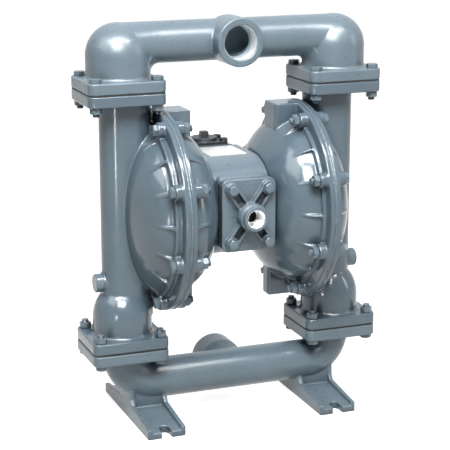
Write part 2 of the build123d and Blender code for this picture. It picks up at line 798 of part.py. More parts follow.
def diaphragm():
    edge = ring_r - diaphragm_inset
    mid_r = (convolution_in_r + convolution_out_r) / 2
    bore = stud_r + loose_gap
    outer = [
        Line((outer_ring_x, bore), (outer_ring_x, convolution_in_r)),
        ThreePointArc((outer_ring_x, convolution_in_r), (outer_ring_x + convolution_h, mid_r),
                      (outer_ring_x, convolution_out_r)),
        Line((outer_ring_x, convolution_out_r), (outer_ring_x, edge)),
        Line((outer_ring_x, edge), (inner_ring_x, edge)),
        Line((inner_ring_x, edge), (inner_ring_x, convolution_out_r)),
        ThreePointArc((inner_ring_x, convolution_out_r), (inner_ring_x + convolution_h, mid_r),
                      (inner_ring_x, convolution_in_r)),
        Line((inner_ring_x, convolution_in_r), (inner_ring_x, bore)),
        Line((inner_ring_x, bore), (outer_ring_x, bore)),
    ]
    disc = Pos(0, 0, chamber_z) * revolve(make_face(Curve() + outer), Axis.X)
    for hole in ring_holes():
        disc -= hole
    return disc


def inner_plate():
    face = rod_half
    return turned_x(
        (face, stud_r + fit), (face, inner_plate_hub_r),
        (inner_ring_x - inner_plate_edge_t, inner_plate_r - inner_plate_bevel),
        (inner_ring_x - inner_plate_edge_t + 1, inner_plate_r), (inner_ring_x, inner_plate_r),
        (inner_ring_x, stud_r + fit),
    )


def outer_plate():
    rim_x = outer_ring_x + outer_plate_edge_t
    depth = outer_plate_t - outer_plate_edge_t
    solid = domed_x([(outer_ring_x, 0), (outer_ring_x, outer_plate_r), (rim_x, outer_plate_r)],
                    rim_x, depth, outer_plate_r, rod_r, 1)
    return solid - bar_x(outer_ring_x - 1, outer_ring_x + stud_reach + loose_gap, stud_r + fit)


def diaphragm_rod():
    end = outer_ring_x + stud_reach
    return bar_x(-rod_half, rod_half, rod_r) + bar_x(-end, end, stud_r)


def rod_bushing():
    return bar_x(hub_x - bushing_l, hub_x, bushing_r) - bar_x(hub_x - bushing_l - 1, hub_x + 1, rod_r + fit)


def rod_seal():
    return bar_x(hub_x, hub_x + seal_w, bushing_r) - bar_x(hub_x - 1, hub_x + seal_w + 1, rod_r + fit)


# Ball valves

def seat(z0):
    ring = bar_z(z0, z0 + seat_h, ball_cavity_r - seat_fit, column_x)
    return ring - bar_z(z0 - 1, z0 + seat_h + 1, seat_bore_r, column_x)


def ball(z0):
    return Pos(column_x, 0, z0 + seat_h + ball_rest_h) * Sphere(ball_r)


def joint_gasket(z_middle):
    z0 = z_middle - half_gasket
    z1 = z_middle + half_gasket
    half_x = flange_half_x - joint_gasket_inset
    half_y = flange_half_y - joint_gasket_inset
    sheet = plate_z(z0, z1, half_x, half_y, flange_corner_r, column_x)
    sheet -= bar_z(z0 - 1, z1 + 1, column_bore_r, column_x)
    for hole in joint_holes(z0 - 1, z1 + 1):
        sheet -= hole
    return sheet


def pipe_plugs():
    face = column_x + column_r + plug_boss_proud
    head = bar_x(face, face + plug_head_t, plug_head_r, 0, plug_z)
    head = chamfer(head.edges().sort_by(Axis.X)[-1], 1.5)
    plug = head + bar_x(face - plug_thread_l, face, plug_thread_r, 0, plug_z)
    return Compound(children=[plug, mirrored(plug)])


# Fasteners of the rings and joints

def ring_bolts():
    length = outer_bolt_seat - inner_bolt_seat + m12_nut_h + stud_end
    bolt = Pos(outer_bolt_seat, 0, 0) * Rot(0, 90, 0) * hex_bolt(m12_r, length, m12_flats, m12_head_h)
    return Compound(children=ring_pattern(bolt))


def ring_nuts():
    nut = Pos(inner_bolt_seat, 0, 0) * Rot(0, -90, 0) * hex_nut(m12_r, m12_flats, m12_nut_h)
    return Compound(children=ring_pattern(nut))


joint_grip = 2 * flange_t + joint_gasket_t
joint_bolt_l = joint_grip + m12_nut_h + stud_end


def joint_bolts(seat_z, turn):
    bolts = []
    for x in (-column_x, column_x):
        for px, py in corner_pattern(x):
            bolt = hex_bolt(m12_r, joint_bolt_l, m12_flats, m12_head_h)
            bolts.append(Pos(px, py, seat_z) * Rot(turn, 0, 0) * bolt)
    return Compound(children=bolts)


def joint_nuts(seat_z, turn):
    nuts = []
    for x in (-column_x, column_x):
        for px, py in corner_pattern(x):
            nuts.append(Pos(px, py, seat_z) * Rot(turn, 0, 0) * hex_nut(m12_r, m12_flats, m12_nut_h))
    return Compound(children=nuts)


def hub_bolts():
    seat_x = hub_x + hub_t
    shank = Cylinder(m10_r, hub_t + hub_bolt_grip)
    bolt = Pos(0, 0, -(hub_t + hub_bolt_grip) / 2) * shank
    bolt += Pos(0, 0, hub_bolt_head_h / 2) * Cylinder(hub_bolt_head_r, hub_bolt_head_h)
    socket = extrude(RegularPolygon(hub_socket_half_flats, 6, major_radius=False), hub_socket_depth)
    bolt -= Pos(0, 0, hub_bolt_head_h - hub_socket_depth) * socket
    bolt = Pos(seat_x, hub_bolt_circle_r, 0) * Rot(0, 90, 0) * bolt
    right = around_x(bolt, hub_bolt_count, 180.0 / hub_bolt_count)
    return Compound(children=right + [mirrored(one) for one in right])


# Pilot valve

def pilot_valve_body():
    plate = plate_y(pilot_front_y, pilot_back_y, pad_half_x, pad_half_z, pad_corner_r)
    inner = block(
        -pilot_block_half_x, pilot_block_half_x, pilot_back_y, pilot_block_back_y,
        chamber_z - pilot_block_half_z, chamber_z + pilot_block_half_z)
    solid = plate + inner
    solid -= bar_x(-pilot_block_half_x - 1, pilot_block_half_x + 1, pilot_sleeve_r + fit, pilot_y)
    solid -= bar_y(pilot_front_y - 1, pilot_y, pilot_feed_r)
    for px, pz in cap_bolt_places():
        solid -= bar_y(pilot_front_y - 1, pilot_back_y + 1, m10_hole_r, px, pz)
    return solid


def sheet_gasket(y0, y1):
    """Gasket behind the cap or behind the pilot valve's plate."""
    sheet = plate_y(y0, y1, pad_half_x - joint_gasket_inset, pad_half_z - joint_gasket_inset, pad_corner_r)
    sheet -= block(
        -pilot_block_half_x - pocket_gap, pilot_block_half_x + pocket_gap, y0 - 1, y1 + 1,
        chamber_z - pilot_block_half_z - pocket_gap, chamber_z + pilot_block_half_z + pocket_gap)
    for px, pz in cap_bolt_places():
        sheet -= bar_y(y0 - 1, y1 + 1, m10_hole_r, px, pz)
    return sheet


def pilot_sleeve():
    half = pilot_block_half_x
    sleeve = bar_x(-half, half, pilot_sleeve_r, pilot_y) - bar_x(-half - 1, half + 1, pilot_bore_r + fit, pilot_y)
    for x in (-half / 2, 0, half / 2):
        sleeve -= bar_y(pilot_y - pilot_sleeve_r - 1, pilot_y, pilot_bore_r / 2, x)
    return sleeve


def pilot_spool():
    spool = bar_x(-pilot_spool_half, pilot_spool_half, pilot_bore_r, pilot_y)
    groove_half = pilot_spool_half / 5
    for x in (-pilot_spool_half / 2, pilot_spool_half / 2):
        groove = bar_x(x - groove_half, x + groove_half, pilot_bore_r + 1, pilot_y)
        spool -= groove - bar_x(x - groove_half, x + groove_half, pilot_groove_r, pilot_y)
    return spool


def plunger():
    pin = bar_x(pilot_spool_half + loose_gap, plunger_tip_x, plunger_r, pilot_y)
    return fillet(pin.edges().filter_by(GeomType.CIRCLE).sort_by(Axis.X)[-1], plunger_r / 2)


def plunger_bushing():
    tube = bar_x(hub_x, plunger_boss_x, plunger_bush_r, pilot_y)
    return tube - bar_x(hub_x - 1, plunger_boss_x + 1, plunger_r + fit, pilot_y)


# Air inlet cap

def cap_rib(px, pz, side):
    """One of the two ribs that run from a corner boss to the hub, level with the boss."""
    length = math.hypot(px, pz)
    slope = math.degrees(math.atan2(pz, px))
    rib = Box(length, cap_rib_t, cap_boss_h)
    rib = Pos(length / 2, side * cap_rib_offset, cap_boss_h / 2) * rib
    return Pos(0, cap_front_y, chamber_z) * Rot(90, 0, 0) * Rot(0, 0, slope) * rib


def air_inlet_cap():
    plate = plate_y(cap_front_y, cap_back_y, pad_half_x, pad_half_z, pad_corner_r)
    front = plate.edges().group_by(Axis.Y)[0]
    solid = fillet(front, cap_edge_r)
    for px, pz in cap_bolt_places():
        rel_z = pz - chamber_z
        slope = math.degrees(math.atan2(rel_z, px))
        length = math.hypot(px, rel_z)
        solid += bar_y(cap_seat_y, cap_front_y + 1, cap_boss_r, px, pz)
        solid += cap_rib(px, rel_z, 1)
        solid += cap_rib(px, rel_z, -1)
        pocket = Box(length, 2 * cap_rib_offset - cap_rib_t, 2 * cap_pocket_depth)
        pocket = Pos(0, cap_front_y, chamber_z) * Rot(90, 0, 0) * Rot(0, 0, slope) * Pos(length / 2, 0, 0) * pocket
        solid -= pocket
        solid += bar_y(cap_seat_y, cap_back_y, cap_boss_r, px, pz)
    solid += bar_y(cap_hub_y, cap_back_y, cap_hub_r)
    solid += bar_y(cap_nose_y, cap_hub_y + 1, cap_nose_r)
    solid -= bar_y(cap_nose_y - 1, cap_back_y + 1, air_port_r)
    mouth = Pos(0, cap_nose_y, chamber_z) * Rot(-90, 0, 0)
    solid -= mouth * Cone(air_port_r + air_port_chamfer, air_port_r, 2 * air_port_chamfer)
    for px, pz in cap_bolt_places():
        solid -= bar_y(cap_seat_y - 1, cap_back_y + 1, m10_hole_r, px, pz)
    return solid


def cap_bolts():
    length = pad_face_y + cap_bolt_thread_l - cap_seat_y
    bolts = []
    for px, pz in cap_bolt_places():
        bolts.append(Pos(px, cap_seat_y, pz) * Rot(90, 0, 0) * hex_bolt(m10_r, length, m10_flats, m10_head_h))
    return Compound(children=bolts)


# Main air valve

def valve_end_plate(z0, z1):
    return plate_z(z0, z1, valve_end_half_x, valve_end_half_y, valve_end_corner_r, 0, valve_y)


def main_valve_body():
    low = chamber_z - valve_half_l
    high = chamber_z + valve_half_l
    solid = plate_y(valve_flange_y, valve_face_y, valve_flange_half_x, valve_flange_half_z, valve_flange_corner_r)
    solid += block(-valve_neck_half_x, valve_neck_half_x, valve_flange_y, valve_y, low, high)
    solid += bar_z(low, high, valve_barrel_r, 0, valve_y)
    solid += valve_end_plate(high - valve_end_flange_t, high)
    solid += valve_end_plate(low, low + valve_end_flange_t)
    solid += bar_y(valve_y, exhaust_face_y, exhaust_boss_r)
    solid -= bar_z(low - 1, high + 1, valve_sleeve_r + fit, 0, valve_y)
    solid -= bar_y(valve_y, exhaust_face_y, exhaust_bore_r)
    solid -= bar_y(exhaust_face_y - exhaust_port_depth, exhaust_face_y + 1, exhaust_port_r)
    mouth = Pos(0, exhaust_face_y, chamber_z) * Rot(90, 0, 0)
    solid -= mouth * Cone(exhaust_port_r + air_port_chamfer, exhaust_port_r, 2 * air_port_chamfer)
    for px, pz in valve_bolt_places():
        solid -= bar_y(valve_flange_y - 1, valve_face_y + 1, m10_hole_r, px, pz)
    for px, py in valve_cap_bolt_places():
        solid -= bar_z(high - valve_cap_bolt_l - 1, high + 1, m8_r + fit, px, py)
        solid -= bar_z(low - 1, low + valve_cap_bolt_l + 1, m8_r + fit, px, py)
    return solid


def valve_cap_bolt_places():
    places = []
    for sx in (-1, 1):
        for sy in (-1, 1):
            places.append((sx * valve_cap_bolt_x, valve_y + sy * valve_cap_bolt_y))
    return places


def valve_gasket():
    half_x = valve_flange_half_x - joint_gasket_inset
    sheet = plate_y(body_back_y, valve_flange_y, half_x, body_r - joint_gasket_inset, valve_flange_corner_r)
    for px, pz in valve_bolt_places():
        sheet -= bar_y(body_back_y - 1, valve_flange_y + 1, m10_hole_r, px, pz)
    return sheet


def valve_sleeve():
    low = chamber_z - valve_half_l
    high = chamber_z + valve_half_l
    sleeve = bar_z(low, high, valve_sleeve_r, 0, valve_y) - bar_z(low - 1, high + 1, valve_bore_r + fit, 0, valve_y)
    for row in (-1, 0, 1):
        for i in range(valve_window_count):
            hole = Pos(0, valve_y, chamber_z + row * valve_half_l / 2) * Rot(0, 0, i * 360 / valve_window_count)
            sleeve -= hole * Pos(valve_sleeve_r, 0, 0) * Rot(0, 90, 0) * Cylinder(valve_window_r, valve_sleeve_r)
    return sleeve


def valve_spool():
    """Spool with three lands, resting at the bottom of its travel."""
    low = chamber_z - valve_half_l + loose_gap
    length = 2 * valve_half_l - valve_travel - 2 * loose_gap
    spool = bar_z(low, low + length, valve_bore_r, 0, valve_y)
    groove_l = (length - 3 * valve_land_l) / 2
    for i in (0, 1):
        z0 = low + valve_land_l + i * (groove_l + valve_land_l)
        ring = bar_z(z0, z0 + groove_l, valve_bore_r + 1, 0, valve_y)
        spool -= ring - bar_z(z0, z0 + groove_l, valve_groove_r, 0, valve_y)
    return spool


def valve_end_cap(sign):
    face = chamber_z + sign * valve_half_l
    far = face + sign * valve_cap_t
    crown = far + sign * valve_cap_crown_h
    tip = crown + sign * valve_cap_rib_h
    solid = valve_end_plate(min(face, far), max(face, far))
    solid += bar_z(face, crown, valve_cap_crown_r, 0, valve_y)
    solid += block(
        -valve_cap_rib_half_x, valve_cap_rib_half_x, valve_y - valve_cap_rib_half_y,
        valve_y + valve_cap_rib_half_y, min(face, tip), max(face, tip))
    for px, py in valve_cap_bolt_places():
        solid -= bar_z(min(face, far) - 1, max(face, far) + 1, m8_hole_r, px, py)
    return solid


def valve_cap_bolts():
    bolts = []
    for sign in (-1, 1):
        seat_z = chamber_z + sign * (valve_half_l + valve_cap_t)
        for px, py in valve_cap_bolt_places():
            bolt = hex_bolt(m8_r, valve_cap_t + valve_cap_bolt_l, m8_flats, m8_head_h)
            bolts.append(Pos(px, py, seat_z) * Rot(0 if sign > 0 else 180, 0, 0) * bolt)
    return Compound(children=bolts)


def valve_bolts():
    length = valve_flange_t + valve_gasket_t + valve_bolt_thread_l
    bolts = []
    for px, pz in valve_bolt_places():
        bolts.append(Pos(px, valve_face_y, pz) * Rot(-90, 0, 0) * hex_bolt(m10_r, length, m10_flats, m10_head_h))
    return Compound(children=bolts)


# Write every piece

os.makedirs("parts", exist_ok=True)
save("discharge_manifold", discharge_manifold())
save("suction_manifold", suction_manifold())
save_pair("outer_chamber", outer_chamber())
save_pair("inner_chamber", inner_chamber())
save("centre_body", centre_body())
save("nameplate", nameplate())
save("nameplate_pins", nameplate_pins())
save_pair("diaphragm", diaphragm())
save_pair("inner_plate", inner_plate())
save_pair("outer_plate", outer_plate())
save("diaphragm_rod", diaphragm_rod())
save_pair("rod_bushing", rod_bushing())
save("rod_seals", Compound(children=[rod_seal(), mirrored(rod_seal())]))
save_pair("suction_seat", seat(suction_joint_z + half_gasket))
save_pair("discharge_seat", seat(discharge_joint_z + half_gasket))
save_pair("suction_ball", ball(suction_joint_z + half_gasket))
save_pair("discharge_ball", ball(discharge_joint_z + half_gasket))
save_pair("suction_gasket", joint_gasket(suction_joint_z))
save_pair("discharge_gasket", joint_gasket(discharge_joint_z))
save("pipe_plugs", pipe_plugs())
save_pair("ring_bolts", ring_bolts())
save_pair("ring_nuts", ring_nuts())
save("discharge_bolts", joint_bolts(discharge_joint_z + joint_grip / 2, 0))
save("suction_bolts", joint_bolts(suction_joint_z - joint_grip / 2, 180))
save("discharge_nuts", joint_nuts(discharge_joint_z - joint_grip / 2, 180))
save("suction_nuts", joint_nuts(suction_joint_z + joint_grip / 2, 0))
save("hub_bolts", hub_bolts())
save("pilot_valve_body", pilot_valve_body())
save("pilot_gasket", sheet_gasket(pilot_back_y, pad_face_y))
save("cap_gasket", sheet_gasket(cap_back_y, pilot_front_y))
save("pilot_sleeve", pilot_sleeve())
save("pilot_spool", pilot_spool())
save_pair("plunger", plunger())
save("plunger_bushings", Compound(children=[plunger_bushing(), mirrored(plunger_bushing())]))
save("air_inlet_cap", air_inlet_cap())
save("cap_bolts", cap_bolts())
save("main_valve_body", main_valve_body())
save("valve_gasket", valve_gasket())
save("valve_sleeve", valve_sleeve())
save("valve_spool", valve_spool())
save("upper_valve_cap", valve_end_cap(1))
save("lower_valve_cap", valve_end_cap(-1))
save("valve_cap_bolts", valve_cap_bolts())
save("valve_bolts", valve_bolts())
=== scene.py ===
import json
import math
import bmesh
import bpy
import numpy as np
from mathutils import Matrix

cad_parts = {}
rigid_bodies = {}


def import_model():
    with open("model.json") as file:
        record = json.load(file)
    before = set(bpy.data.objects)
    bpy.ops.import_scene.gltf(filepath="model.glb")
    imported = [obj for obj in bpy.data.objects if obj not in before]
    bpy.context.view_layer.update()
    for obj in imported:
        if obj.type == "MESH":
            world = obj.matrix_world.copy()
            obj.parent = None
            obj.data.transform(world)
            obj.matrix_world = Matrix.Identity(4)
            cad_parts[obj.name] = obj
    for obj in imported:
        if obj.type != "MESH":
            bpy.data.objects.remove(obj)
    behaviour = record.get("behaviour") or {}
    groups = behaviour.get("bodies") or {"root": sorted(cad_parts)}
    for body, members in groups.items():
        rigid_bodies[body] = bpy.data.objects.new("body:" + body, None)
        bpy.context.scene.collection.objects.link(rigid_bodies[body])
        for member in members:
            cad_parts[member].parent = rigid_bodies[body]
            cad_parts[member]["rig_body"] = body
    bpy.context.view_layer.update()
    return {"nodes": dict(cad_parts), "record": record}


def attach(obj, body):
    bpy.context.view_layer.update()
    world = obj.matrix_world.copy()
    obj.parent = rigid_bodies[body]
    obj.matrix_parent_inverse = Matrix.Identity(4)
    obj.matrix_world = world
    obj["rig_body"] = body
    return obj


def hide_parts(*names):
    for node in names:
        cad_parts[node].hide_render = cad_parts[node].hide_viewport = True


# Air operated diaphragm pump in blue-grey paint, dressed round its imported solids. Metres, +Z up, front at -Y.

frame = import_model()
nodes = frame["nodes"]
bodyOf = {name: node["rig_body"] for name, node in nodes.items()}
print("frame loaded:", len(nodes), "nodes")


# Camera, lights and floor

cameraSet = {
    "turn": 21.08,  # degrees from +Y towards +X
    "dip": 14.16,  # degrees below the horizon
    "distance": 2.6174,
    "target": (0.0, 0.0, 0.3345),
    "slide": (-0.00533, -0.00742),  # to the right and up, off the target
    "lens": 120.0,
}


# Unit vectors ahead, right and up of a viewer that looks along +Y, turned and tipped by these angles.
def viewAxes(turn, dip):
    turn, dip = math.radians(turn), math.radians(dip)
    ahead = np.array((math.sin(turn) * math.cos(dip), math.cos(turn) * math.cos(dip), -math.sin(dip)))
    right = np.array((math.cos(turn), -math.sin(turn), 0.0))
    return ahead, right, np.cross(right, ahead)


# Puts a camera or lamp at a place with its -Z along ahead.
def placeAt(thing, place, ahead, right, up):
    axes = np.stack((right, up, -ahead), axis=1)
    thing.matrix_world = Matrix.Translation(place) @ Matrix(axes.tolist()).to_4x4()


def makeCamera():
    ahead, right, up = viewAxes(cameraSet["turn"], cameraSet["dip"])
    place = np.array(cameraSet["target"]) - cameraSet["distance"] * ahead
    place = place + cameraSet["slide"][0] * right + cameraSet["slide"][1] * up
    data = bpy.data.cameras.new("camera")
    data.lens = cameraSet["lens"]
    data.clip_end = 50.0
    camera = bpy.data.objects.new("camera", data)
    bpy.context.scene.collection.objects.link(camera)
    placeAt(camera, place.tolist(), ahead, right, up)
    bpy.context.scene.camera = camera


lampSet = {
    # name: turn and dip of the lamp's aim, distance, width, height, watts, what it lights
    "frontBox": (17.0, 52.0, 2.6, 1.4, 1.0, 88.0, "shading"),
    "topBox": (10.0, 80.0, 2.2, 1.6, 1.0, 13.0, "shading"),
    "rearBox": (200.0, 38.0, 2.8, 1.6, 1.2, 36.0, "shading"),
    "keyGloss": (24.0, 41.0, 2.6, 1.4, 0.9, 130.0, "gloss"),
    "bandGloss": (12.0, 63.0, 2.4, 2.6, 0.4, 130.0, "gloss"),
    "leftGloss": (78.0, 44.0, 2.4, 1.5, 1.3, 34.0, "gloss"),
    "rightStrip": (-62.0, 18.0, 2.4, 0.25, 1.4, 9.0, "gloss"),
    "lineStrip": (44.4, -4.8, 1.435, 0.08, 0.20, 2.2, "column line"),
}
lampTarget = (0.0, 0.0, 0.35)
roomLight = 0.03  # the world's strength for diffuse light


def makeLamps():
    centre = np.array(lampTarget)
    for name, (turn, dip, distance, width, height, watts, use) in lampSet.items():
        ahead, right, up = viewAxes(turn, dip)
        data = bpy.data.lights.new(name, "AREA")
        data.shape = "RECTANGLE"
        data.size = width
        data.size_y = height
        data.energy = watts
        lamp = bpy.data.objects.new(name, data)
        lamp.visible_camera = False
        lamp.visible_diffuse = use == "shading"
        lamp.visible_glossy = use != "shading"
        bpy.context.scene.collection.objects.link(lamp)
        placeAt(lamp, (centre - distance * ahead).tolist(), ahead, right, up)


# Node helpers

# An sRGB hex colour as linear values.
def linear(text):
    parts = [int(text[i:i + 2], 16) / 255.0 for i in (1, 3, 5)]
    parts = [c / 12.92 if c <= 0.04045 else ((c + 0.055) / 1.055) ** 2.4 for c in parts]
    return (*parts, 1.0)


# Adds a node: settings are its properties, inputs are values or sockets for its own sockets.
def addNode(tree, kind, inputs=None, **settings):
    node = tree.nodes.new(kind)
    for key, value in settings.items():
        setattr(node, key, value)
    for key, value in (inputs or {}).items():
        if isinstance(value, bpy.types.NodeSocket):
            tree.links.new(value, node.inputs[key])
        else:
            node.inputs[key].default_value = value
    return node


# A 0 to 1 pattern carried to the range low to high.
def spread(tree, source, low, high, fromLow=0.3, fromHigh=0.7):
    return addNode(tree, "ShaderNodeMapRange", {
        "Value": source, "From Min": fromLow, "From Max": fromHigh, "To Min": low, "To Max": high,
    }).outputs[0]


# 1 on the rays that see a plain white background: camera, glossy and transmission.
def backgroundRays(tree):
    path = addNode(tree, "ShaderNodeLightPath")
    seen = path.outputs["Is Camera Ray"]
    for ray in ("Is Glossy Ray", "Is Transmission Ray"):
        either = addNode(tree, "ShaderNodeMath", {0: seen, 1: path.outputs[ray]}, operation="MAXIMUM")
        seen = either.outputs[0]
    return seen


def makeWorld():
    world = bpy.data.worlds.new("studio")
    world.use_nodes = True
    tree = world.node_tree
    tree.nodes.clear()
    room = addNode(tree, "ShaderNodeBackground", {"Color": (1.0, 1.0, 1.0, 1.0), "Strength": roomLight})
    white = addNode(tree, "ShaderNodeBackground", {"Color": (1.0, 1.0, 1.0, 1.0), "Strength": 1.0})
    either = addNode(tree, "ShaderNodeMixShader", {
        0: backgroundRays(tree), 1: room.outputs[0], 2: white.outputs[0],
    })
    addNode(tree, "ShaderNodeOutputWorld", {"Surface": either.outputs[0]})
    bpy.context.scene.world = world


floorSet = {
    "halfSize": 30.0,
    "colour": "#b9b9b7",
    "nearLift": 0.93,  # of white, under the pump
    "farLift": 1.0,
    "near": 0.5,  # metres from the middle
    "far": 2.0,
}


# A pale floor whose camera colour is lifted to white, so only the shadow shows.
def makeFloor():
    f, h = floorSet, floorSet["halfSize"]
    mesh = bpy.data.meshes.new("floor")
    mesh.from_pydata([(-h, -h, 0.0), (h, -h, 0.0), (h, h, 0.0), (-h, h, 0.0)], [], [(0, 1, 2, 3)])
    floor = bpy.data.objects.new("floor", mesh)
    bpy.context.scene.collection.objects.link(floor)
    material = bpy.data.materials.new("paleFloor")
    material.use_nodes = True
    tree = material.node_tree
    tree.nodes.clear()
    matt = addNode(tree, "ShaderNodeBsdfDiffuse", {"Color": linear(f["colour"])})
    where = addNode(tree, "ShaderNodeTexCoord")
    away = addNode(tree, "ShaderNodeVectorMath", {0: where.outputs["Object"]}, operation="LENGTH")
    grows = spread(tree, away.outputs["Value"], f["nearLift"], f["farLift"], f["near"], f["far"])
    lift = addNode(tree, "ShaderNodeMath", {0: backgroundRays(tree), 1: grows}, operation="MULTIPLY")
    glow = addNode(tree, "ShaderNodeEmission", {"Strength": lift.outputs[0]})
    both = addNode(tree, "ShaderNodeAddShader", {0: matt.outputs[0], 1: glow.outputs[0]})
    addNode(tree, "ShaderNodeOutputMaterial", {"Surface": both.outputs[0]})
    mesh.materials.append(material)


makeCamera()
makeLamps()
makeWorld()
makeFloor()
bpy.context.scene.view_settings.view_transform = "Standard"
print("camera, lamps and floor placed")


# Finishes

def newFinish(name):
    material = bpy.data.materials.new(name)
    material.use_nodes = True
    tree = material.node_tree
    tree.nodes.clear()
    return material, tree


# Noise on Object coordinates with one lump every so many millimetres; stretch draws it out along an axis.
def grain(tree, millimetres, detail=2.0, rough=0.5, stretch=(1.0, 1.0, 1.0)):
    where = addNode(tree, "ShaderNodeTexCoord")
    turned = addNode(tree, "ShaderNodeMapping", {"Vector": where.outputs["Object"], "Scale": stretch})
    return addNode(tree, "ShaderNodeTexNoise", {
        "Vector": turned.outputs[0], "Scale": 1000.0 / millimetres, "Detail": detail, "Roughness": rough,
    }).outputs["Fac"]


# Two colours mixed by a 0 to 1 pattern.
def tinted(tree, source, first, second):
    mix = addNode(tree, "ShaderNodeMix", {0: source, 6: first, 7: second}, data_type="RGBA")
    return mix.outputs[2]


enamelSet = {
    "poolMillimetres": 70.0,  # slow change of tone where the coat is thicker
    "mistMillimetres": 9.0,  # patches of overspray that shine less
    "rippleMillimetres": 14.0,  # the coat's own waviness
    "cornerReach": 0.025,  # metres within which another face makes a corner
    "cornerShade": (0.75, 0.0),  # share of the dark tone, from a deep corner to an open face
    "cornerOpenness": (0.25, 0.9),
}


# Two-part epoxy enamel sprayed over a sand casting: semi-gloss, with the mould's grit under it. Painted
# shade: an ambient occlusion node darkens it in corners.
def paintedCasting(name, colours, gritMillimetres, gritDepth, rough, rippleDepth=0.0001):
    e = enamelSet
    material, tree = newFinish(name)
    pool = spread(tree, grain(tree, e["poolMillimetres"], 3.0), 0.0, 1.0)
    base = tinted(tree, pool, linear(colours[0]), linear(colours[1]))
    # painted shade: the third colour is mixed in where ambient occlusion finds a corner
    openness = addNode(tree, "ShaderNodeAmbientOcclusion", {"Distance": e["cornerReach"]}, samples=8)
    paintedShade = spread(tree, openness.outputs["AO"], *e["cornerShade"], *e["cornerOpenness"])
    base = tinted(tree, paintedShade, base, linear(colours[2]))
    mist = spread(tree, grain(tree, e["mistMillimetres"], 3.0), rough[0], rough[1])
    sand = grain(tree, gritMillimetres, 1.0)
    ripple = grain(tree, e["rippleMillimetres"], 1.0)
    low = addNode(tree, "ShaderNodeBump", {"Height": ripple, "Distance": rippleDepth, "Strength": 1.0})
    bump = addNode(tree, "ShaderNodeBump", {
        "Height": sand, "Distance": gritDepth, "Strength": 1.0, "Normal": low.outputs[0],
    })
    skin = addNode(tree, "ShaderNodeBsdfPrincipled", {
        "Base Color": base, "Roughness": mist, "IOR": 1.5, "Specular IOR Level": 0.5,
        "Normal": bump.outputs[0],
    })
    addNode(tree, "ShaderNodeOutputMaterial", {"Surface": skin.outputs[0]})
    return material


# Bare or plated metal: two close tones, a fine grain left by the tool or the bath.
def metalFinish(name, colours, rough, grainMillimetres, depth, stretch=(1.0, 1.0, 1.0)):
    material, tree = newFinish(name)
    tone = spread(tree, grain(tree, 12.0, 3.0), 0.0, 1.0)
    lines = grain(tree, grainMillimetres, 2.0, 0.6, stretch)
    bump = addNode(tree, "ShaderNodeBump", {"Height": lines, "Distance": depth, "Strength": 0.8})
    skin = addNode(tree, "ShaderNodeBsdfPrincipled", {
        "Base Color": tinted(tree, tone, linear(colours[0]), linear(colours[1])), "Metallic": 1.0,
        "Roughness": spread(tree, lines, rough[0], rough[1]), "Normal": bump.outputs[0],
    })
    addNode(tree, "ShaderNodeOutputMaterial", {"Surface": skin.outputs[0]})
    return material


# Moulded rubber or plastic: matt, with a faint bloom and the texture of its mould.
def mouldedFinish(name, colours, rough, grainMillimetres, depth, ior=1.5):
    material, tree = newFinish(name)
    bloom = spread(tree, grain(tree, 18.0, 3.0), 0.0, 1.0)
    texture = grain(tree, grainMillimetres, 2.0)
    bump = addNode(tree, "ShaderNodeBump", {"Height": texture, "Distance": depth, "Strength": 0.6})
    skin = addNode(tree, "ShaderNodeBsdfPrincipled", {
        "Base Color": tinted(tree, bloom, linear(colours[0]), linear(colours[1])),
        "Roughness": spread(tree, texture, rough[0], rough[1]), "IOR": ior, "Normal": bump.outputs[0],
    })
    addNode(tree, "ShaderNodeOutputMaterial", {"Surface": skin.outputs[0]})
    return material
